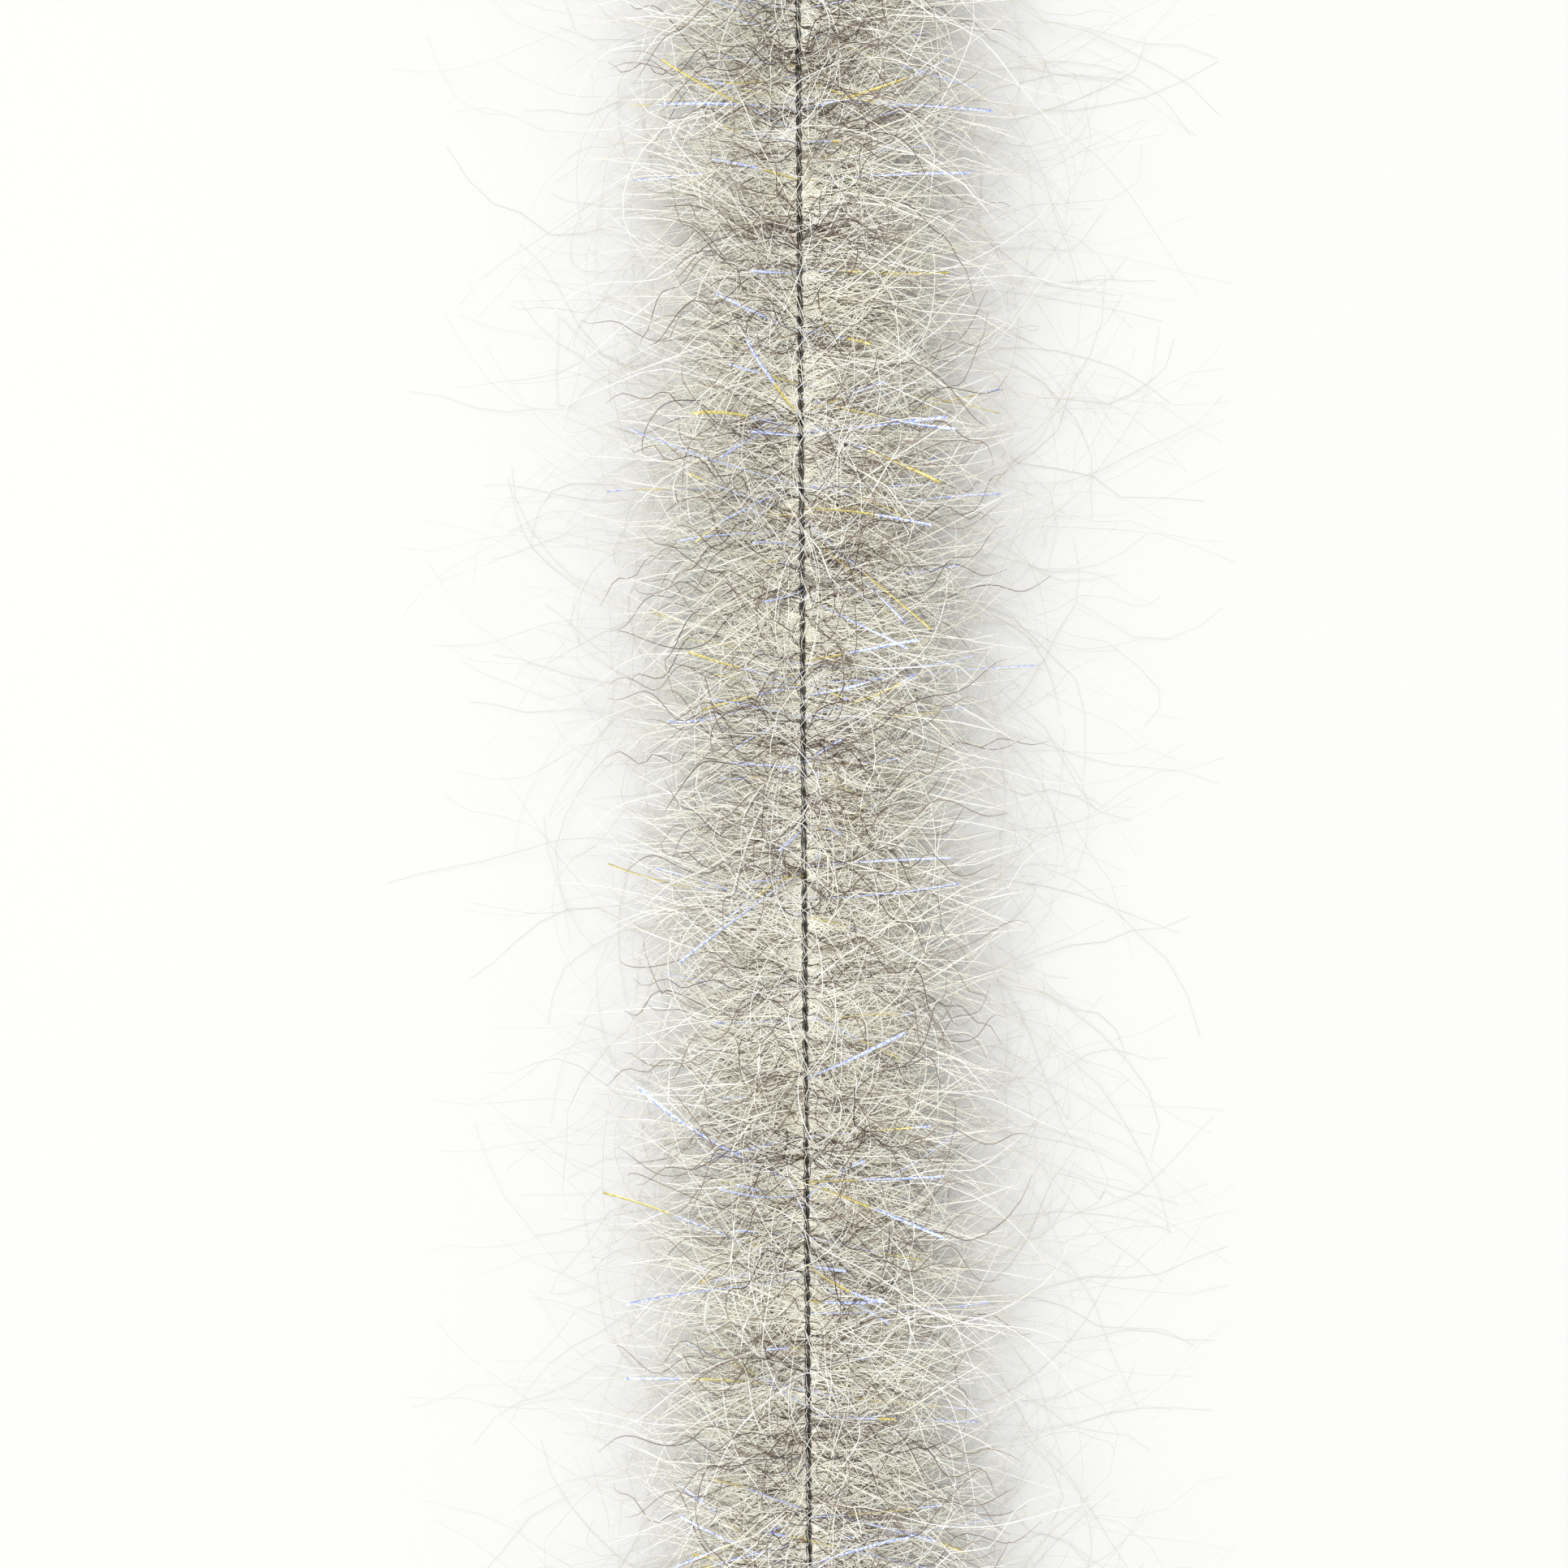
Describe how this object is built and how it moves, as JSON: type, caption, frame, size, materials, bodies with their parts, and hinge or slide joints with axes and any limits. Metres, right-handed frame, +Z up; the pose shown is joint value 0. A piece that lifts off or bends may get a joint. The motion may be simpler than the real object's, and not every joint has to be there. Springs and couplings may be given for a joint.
{
  "type": "wire-core fibre boa",
  "caption": "Fluffy trim: crimped and fine fibres with pearl flash, nipped crosswise between two twisted wires that bend and stay bent.",
  "frame": {"origin": "centre of the bounding box on the surface that the boa lies on", "axes": "+Y along the wire core, +Z up from the surface, X across the fibres; the boa is the same to both sides"},
  "size_m": [0.034, 0.254, 0.0124],
  "materials": {
    "wire": "bright drawn stainless wire, dulled in the twist",
    "crimped_fibre": "crimped taupe-grey synthetic hair with a soft sheen",
    "pale_fibre": "fine pale, slightly clear hair, smooth and bright where it catches the light",
    "pearl_flash": "thin pearl film cut in strips, blue-violet turning to gold along its length"
  },
  "bodies": {
    "section_1": {"wire_a_1": "wire", "wire_b_1": "wire", "crimped_tuft_1a": "crimped_fibre", "pale_tuft_1": "pale_fibre", "crimped_tuft_1b": "crimped_fibre", "flash_strand_1a": "pearl_flash", "flash_strand_1b": "pearl_flash"},
    "section_2": {"wire_a_2": "wire", "wire_b_2": "wire", "crimped_tuft_2a": "crimped_fibre", "pale_tuft_2": "pale_fibre", "crimped_tuft_2b": "crimped_fibre", "flash_strand_2a": "pearl_flash", "flash_strand_2b": "pearl_flash"},
    "section_3": {"wire_a_3": "wire", "wire_b_3": "wire", "crimped_tuft_3a": "crimped_fibre", "pale_tuft_3": "pale_fibre", "crimped_tuft_3b": "crimped_fibre", "flash_strand_3a": "pearl_flash", "flash_strand_3b": "pearl_flash"},
    "section_4": {"wire_a_4": "wire", "wire_b_4": "wire", "crimped_tuft_4a": "crimped_fibre", "pale_tuft_4": "pale_fibre", "crimped_tuft_4b": "crimped_fibre", "flash_strand_4a": "pearl_flash", "flash_strand_4b": "pearl_flash"},
    "section_5": {"wire_a_5": "wire", "wire_b_5": "wire", "crimped_tuft_5a": "crimped_fibre", "pale_tuft_5": "pale_fibre", "crimped_tuft_5b": "crimped_fibre", "flash_strand_5a": "pearl_flash", "flash_strand_5b": "pearl_flash"},
    "section_6": {"wire_a_6": "wire", "wire_b_6": "wire", "crimped_tuft_6a": "crimped_fibre", "pale_tuft_6": "pale_fibre", "crimped_tuft_6b": "crimped_fibre", "flash_strand_6a": "pearl_flash", "flash_strand_6b": "pearl_flash"},
    "section_7": {"wire_a_7": "wire", "wire_b_7": "wire", "crimped_tuft_7a": "crimped_fibre", "pale_tuft_7": "pale_fibre", "crimped_tuft_7b": "crimped_fibre", "flash_strand_7a": "pearl_flash", "flash_strand_7b": "pearl_flash"},
    "section_8": {"wire_a_8": "wire", "wire_b_8": "wire", "crimped_tuft_8a": "crimped_fibre", "pale_tuft_8": "pale_fibre", "crimped_tuft_8b": "crimped_fibre", "flash_strand_8a": "pearl_flash", "flash_strand_8b": "pearl_flash"}
  },
  "joints": [
    {"name": "side_bend_1", "type": "hinge", "parent": "section_2", "child": "section_1", "pos_m": [0, -0.087, 0.006], "axis": [0, 0, -1], "range_deg": [-30, 30]},
    {"name": "lift_bend_2", "type": "hinge", "parent": "section_3", "child": "section_2", "pos_m": [0, -0.058, 0.006], "axis": [-1, 0, 0], "range_deg": [0, 30]},
    {"name": "side_bend_3", "type": "hinge", "parent": "section_4", "child": "section_3", "pos_m": [0, -0.029, 0.006], "axis": [0, 0, -1], "range_deg": [-30, 30]},
    {"name": "lift_bend_4", "type": "hinge", "parent": "section_4", "child": "section_5", "pos_m": [0, 0, 0.006], "axis": [1, 0, 0], "range_deg": [0, 30]},
    {"name": "side_bend_5", "type": "hinge", "parent": "section_5", "child": "section_6", "pos_m": [0, 0.029, 0.006], "axis": [0, 0, 1], "range_deg": [-30, 30]},
    {"name": "lift_bend_6", "type": "hinge", "parent": "section_6", "child": "section_7", "pos_m": [0, 0.058, 0.006], "axis": [1, 0, 0], "range_deg": [0, 30]},
    {"name": "side_bend_7", "type": "hinge", "parent": "section_7", "child": "section_8", "pos_m": [0, 0.087, 0.006], "axis": [0, 0, 1], "range_deg": [-30, 30]}
  ]
}
